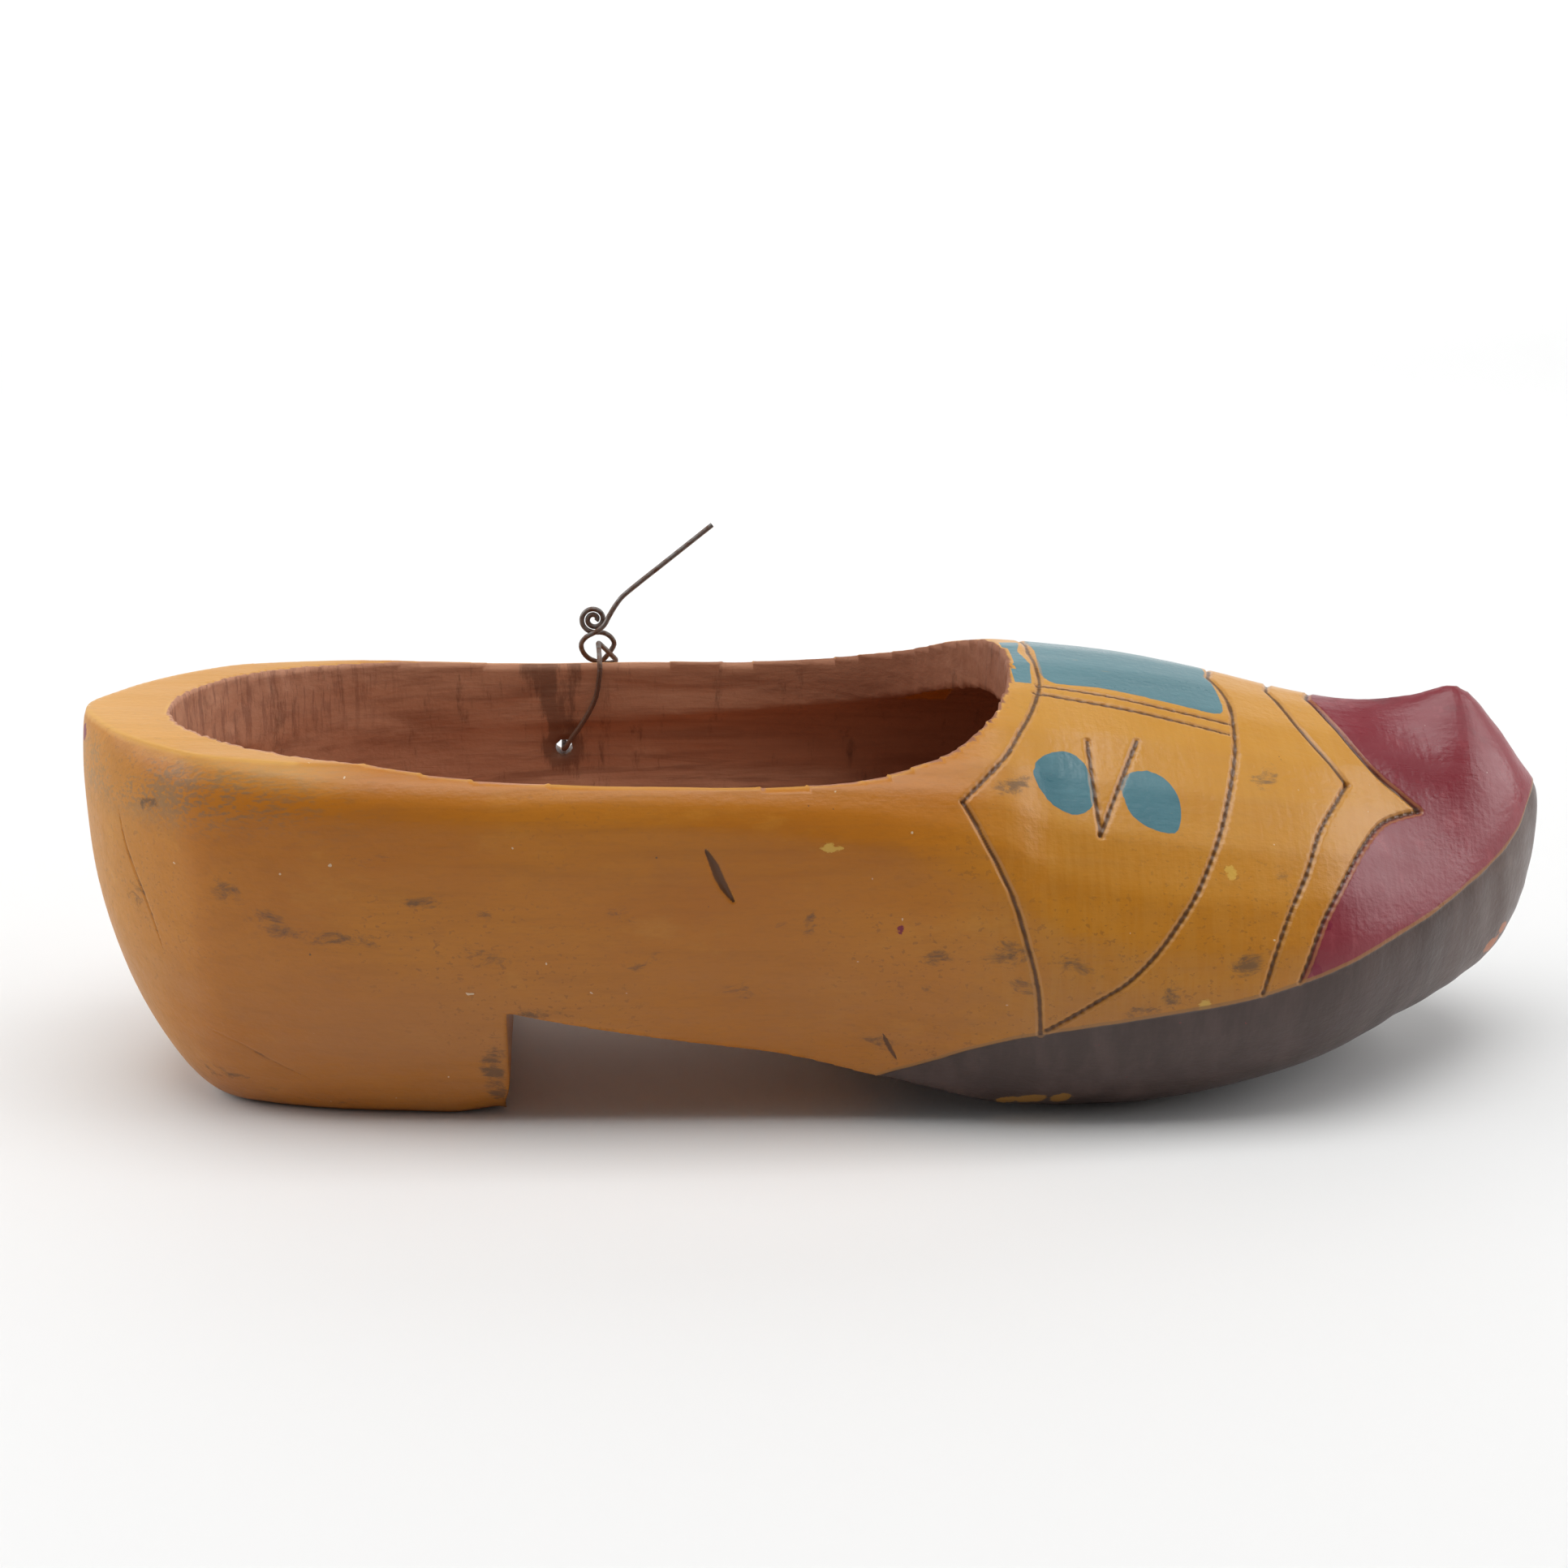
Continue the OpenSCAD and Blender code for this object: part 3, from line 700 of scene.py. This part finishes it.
    # Bare wood in the hollow: reddish, streaked along the grain, with cross fibres at the heel
    bare = n.mix(n.step(cloud, 0.3, 0.7), BARE_DEEP, BARE_LIGHT)
    bare = n.mix(times(n.step(grain, 0.42, 0.70), 0.45), bare, BARE_GRAIN)
    bare = n.mix(times(n.step(blotch, 0.56, 0.74), 0.45), bare, BARE_PALE)
    streak = n.noise(230, (0.06, 1, 1), 5, 0.65, 0.8)
    bare = n.mix(times(times(n.step(streak, 0.55, 0.64), n.step(z, 0.060, 0.046)), 0.38), bare, BARE_STREAK)
    heel_fibre = times(n.step(x, -0.080, -0.112), n.step(z, 0.055, 0.068))
    bare = n.mix(times(times(heel_fibre, n.step(n.noise(800, (1, 1, 0.10), 4, 0.7), 0.48, 0.60)), 0.70), bare,
                 HEEL_FIBRE)
    bare = n.mix(times(heel_fibre, 0.35), bare, HEEL_PALE)
    # Painted shade: darker towards the toe, deep in the hollow under the instep
    bare = n.mix(times(n.step(x, -0.030, 0.040), 0.62), bare, BARE_PAINTED_SHADE)
    torn = n.math("SUBTRACT", n.noise(260, (1, 1, 0.2), 5, 0.75), 0.5)
    # Dark streak down to the drilled hole, with painted shade round the hole's mouth
    stain_and_hole_shade = n.step(n.math("ADD", n.attribute("stain_and_hole_shade"), times(torn, 4.2)), 0.25, 1.05)
    bare = n.mix(times(stain_and_hole_shade, 0.60), bare, STAIN_AND_HOLE_SHADE)

    edge = times(n.math("SUBTRACT", n.noise(260, (1, 1, 1), 3, 0.6), 0.5), 1.1)

    def zone(name, wobble=1.0):
        value = n.math("ADD", n.attribute(name), times(edge, wobble))
        return n.step(value, -0.12, 0.12)

    toe, sole, strap = zone("toe", 0.4), zone("sole", 0.6), zone("strap", 0.5)
    leaf, lip, hollow = zone("leaf", 0.4), zone("lip", 0.8), n.attribute("hollow")
    blue_mask = n.math("MAXIMUM", n.math("MAXIMUM", strap, leaf), lip)
    ochre = n.mix(spot("fresh"), ochre, FRESH_OCHRE)
    color = n.mix(blue_mask, ochre, blue)
    color = n.mix(toe, color, maroon)
    brown = n.mix(times(tread, 0.85), brown, TREAD_BROWN)
    color = n.mix(sole, n.mix(spot("drip"), color, MAROON_DRIP), brown)
    # A thin scribed line of bare ochre along the top of the brown band
    off_band = n.math("ABSOLUTE", n.math("ADD", n.attribute("sole"), n.math("ADD", times(edge, 0.4), 0.25)))
    scribe = times(n.step(off_band, 0.55, 0.25), n.step(x, 0.0, 0.01))
    color = n.mix(times(scribe, 0.80), color, SCRIBE)
    groove = n.math("ADD", n.attribute("groove"), times(edge, 0.35))
    halo = n.step(n.math("ABSOLUTE", n.math("SUBTRACT", groove, 0.75)), 0.40, 0.10)
    color = n.mix(times(halo, 0.40), color, GROOVE_EDGE)
    cut = n.step(groove, 0.62, 0.22)
    scratched = n.step(n.math("ADD", n.attribute("scratch"), times(wobble, 0.6)), 0.30, 0.75)
    color = n.mix(times(n.math("MAXIMUM", cut, scratched), 0.88), color, GROOVE_DARK)
    inner = n.step(n.math("ADD", hollow, times(edge, 0.5)), 0.30, 0.70)
    color = n.mix(inner, color, bare)
    n.put(n.shader.inputs["Base Color"], color)

    patchy = n.step(cloud, 0.3, 0.7)
    gloss = n.blend(vamp, n.blend(patchy, 0.40, 0.50), n.blend(patchy, 0.30, 0.40))
    gloss = n.blend(n.math("MAXIMUM", toe, blue_mask), gloss, n.blend(n.step(blotch, 0.35, 0.65), 0.27, 0.38))
    gloss = n.blend(sole, gloss, 0.36)
    gloss = n.blend(inner, gloss, 0.72)
    gloss = n.math("ADD", gloss, times(n.math("SUBTRACT", grain, 0.5), 0.20))
    gloss = n.math("ADD", gloss, times(dirt, 0.15))
    n.put(n.shader.inputs["Roughness"], gloss)
    n.shader.inputs["Specular IOR Level"].default_value = 0.42

    height = n.math("ADD", times(grain, 0.35), times(fine, 0.20))
    height = n.math("ADD", height, times(pebble, 0.40))
    height = n.math("ADD", height, times(times(cuts, vamp), 0.30))
    height = n.math("ADD", height, times(times(n.math("ADD", blotch, streak), inner), 0.9))
    height = n.math("ADD", height, times(blotch, 0.25))
    bump = n.new("ShaderNodeBump", {"Height": height, "Strength": 0.32, "Distance": 0.0006})
    n.put(n.shader.inputs["Normal"], bump.outputs[0])
    return n.material


def iron_wire():
    n = Nodes("iron_wire")
    n.coordinates = n.new("ShaderNodeTexCoord").outputs["Object"]
    rust = n.noise(500, (1, 1, 1), 5, 0.65)
    fine = n.noise(2600, (1, 1, 1), 3, 0.6)
    height = n.new("ShaderNodeSeparateXYZ", {0: n.coordinates}).outputs[2]
    rusty = n.math("ADD", n.step(rust, 0.42, 0.66), n.step(height, 0.078, 0.066), clamp=True)
    color = n.mix(rusty, WIRE_GREY, WIRE_RUST)
    color = n.mix(n.step(fine, 0.62, 0.75), color, WIRE_PIT)
    n.put(n.shader.inputs["Base Color"], color)
    n.shader.inputs["Metallic"].default_value = 0.55
    n.put(n.shader.inputs["Roughness"], n.blend(n.step(rust, 0.35, 0.7), 0.42, 0.75))
    bump = n.new("ShaderNodeBump", {"Height": fine, "Strength": 0.3, "Distance": 0.0001})
    n.put(n.shader.inputs["Normal"], bump.outputs[0])
    return n.material


block.data.materials.clear()
block.data.materials.append(painted_wood())
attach(block, "clog")
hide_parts(BODY)

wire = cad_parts[WIRE]
wire.data.materials.clear()
wire.data.materials.append(iron_wire())


# ---------------------------------------------------------------- floor and light
def sweep_floor():
    """A pale floor that curves up behind, as one smooth sheet."""
    work = bmesh.new()
    profile = [(-3.0, 0.0), (1.6, 0.0)]
    profile += [(1.6 + 0.8 * math.sin(a), 0.8 - 0.8 * math.cos(a)) for a in np.linspace(0.1, math.pi / 2, 14)]
    profile += [(2.4, 3.2)]
    rows = [[work.verts.new((x, y, z)) for y, z in profile] for x in (-4, 4)]
    for a, b, c, d in zip(rows[0][:-1], rows[1][:-1], rows[1][1:], rows[0][1:]):
        work.faces.new((a, b, c, d)).smooth = True
    data = bpy.data.meshes.new("floor")
    work.to_mesh(data)
    work.free()
    floor = bpy.data.objects.new("floor", data)
    bpy.context.scene.collection.objects.link(floor)
    n = Nodes("floor")
    place = n.new("ShaderNodeSeparateXYZ", {0: n.new("ShaderNodeTexCoord").outputs["Object"]})
    n.shader.inputs["Base Color"].default_value = (0.80, 0.80, 0.795, 1)
    n.shader.inputs["Roughness"].default_value = 0.6
    n.shader.inputs["Specular IOR Level"].default_value = 0.2
    # The backdrop has its own light, which reaches the floor just behind the clog
    near = n.math("MULTIPLY", n.step(place.outputs[1], 0.02, 0.7), 0.30)
    far = n.math("MULTIPLY", n.step(place.outputs[1], 0.5, 2.2), 0.45)
    n.shader.inputs["Emission Color"].default_value = (1, 1, 1, 1)
    n.put(n.shader.inputs["Emission Strength"], n.math("ADD", near, far))
    data.materials.append(n.material)


def softbox(name, location, size, power):
    data = bpy.data.lights.new(name, "AREA")
    data.shape, data.size, data.size_y = "RECTANGLE", *size
    data.energy = power
    light = bpy.data.objects.new(name, data)
    light.location = location
    light.rotation_euler = (Vector((0, 0, 0.03)) - Vector(location)).to_track_quat("-Z", "Y").to_euler()
    bpy.context.scene.collection.objects.link(light)


sweep_floor()
softbox("top", (0.0, -0.12, 1.3), (1.2, 0.8), 12.5)
softbox("left", (-1.0, 0.0, 0.6), (0.6, 0.7), 5.5)
softbox("right", (1.05, -0.05, 0.55), (0.7, 0.8), 6.2)
world = bpy.data.worlds.new("studio")
world.use_nodes = True
world.node_tree.nodes["Background"].inputs[0].default_value = (0.95, 0.97, 1, 1)
world.node_tree.nodes["Background"].inputs[1].default_value = 0.10
bpy.context.scene.world = world
bpy.context.scene.view_settings.view_transform = "Standard"
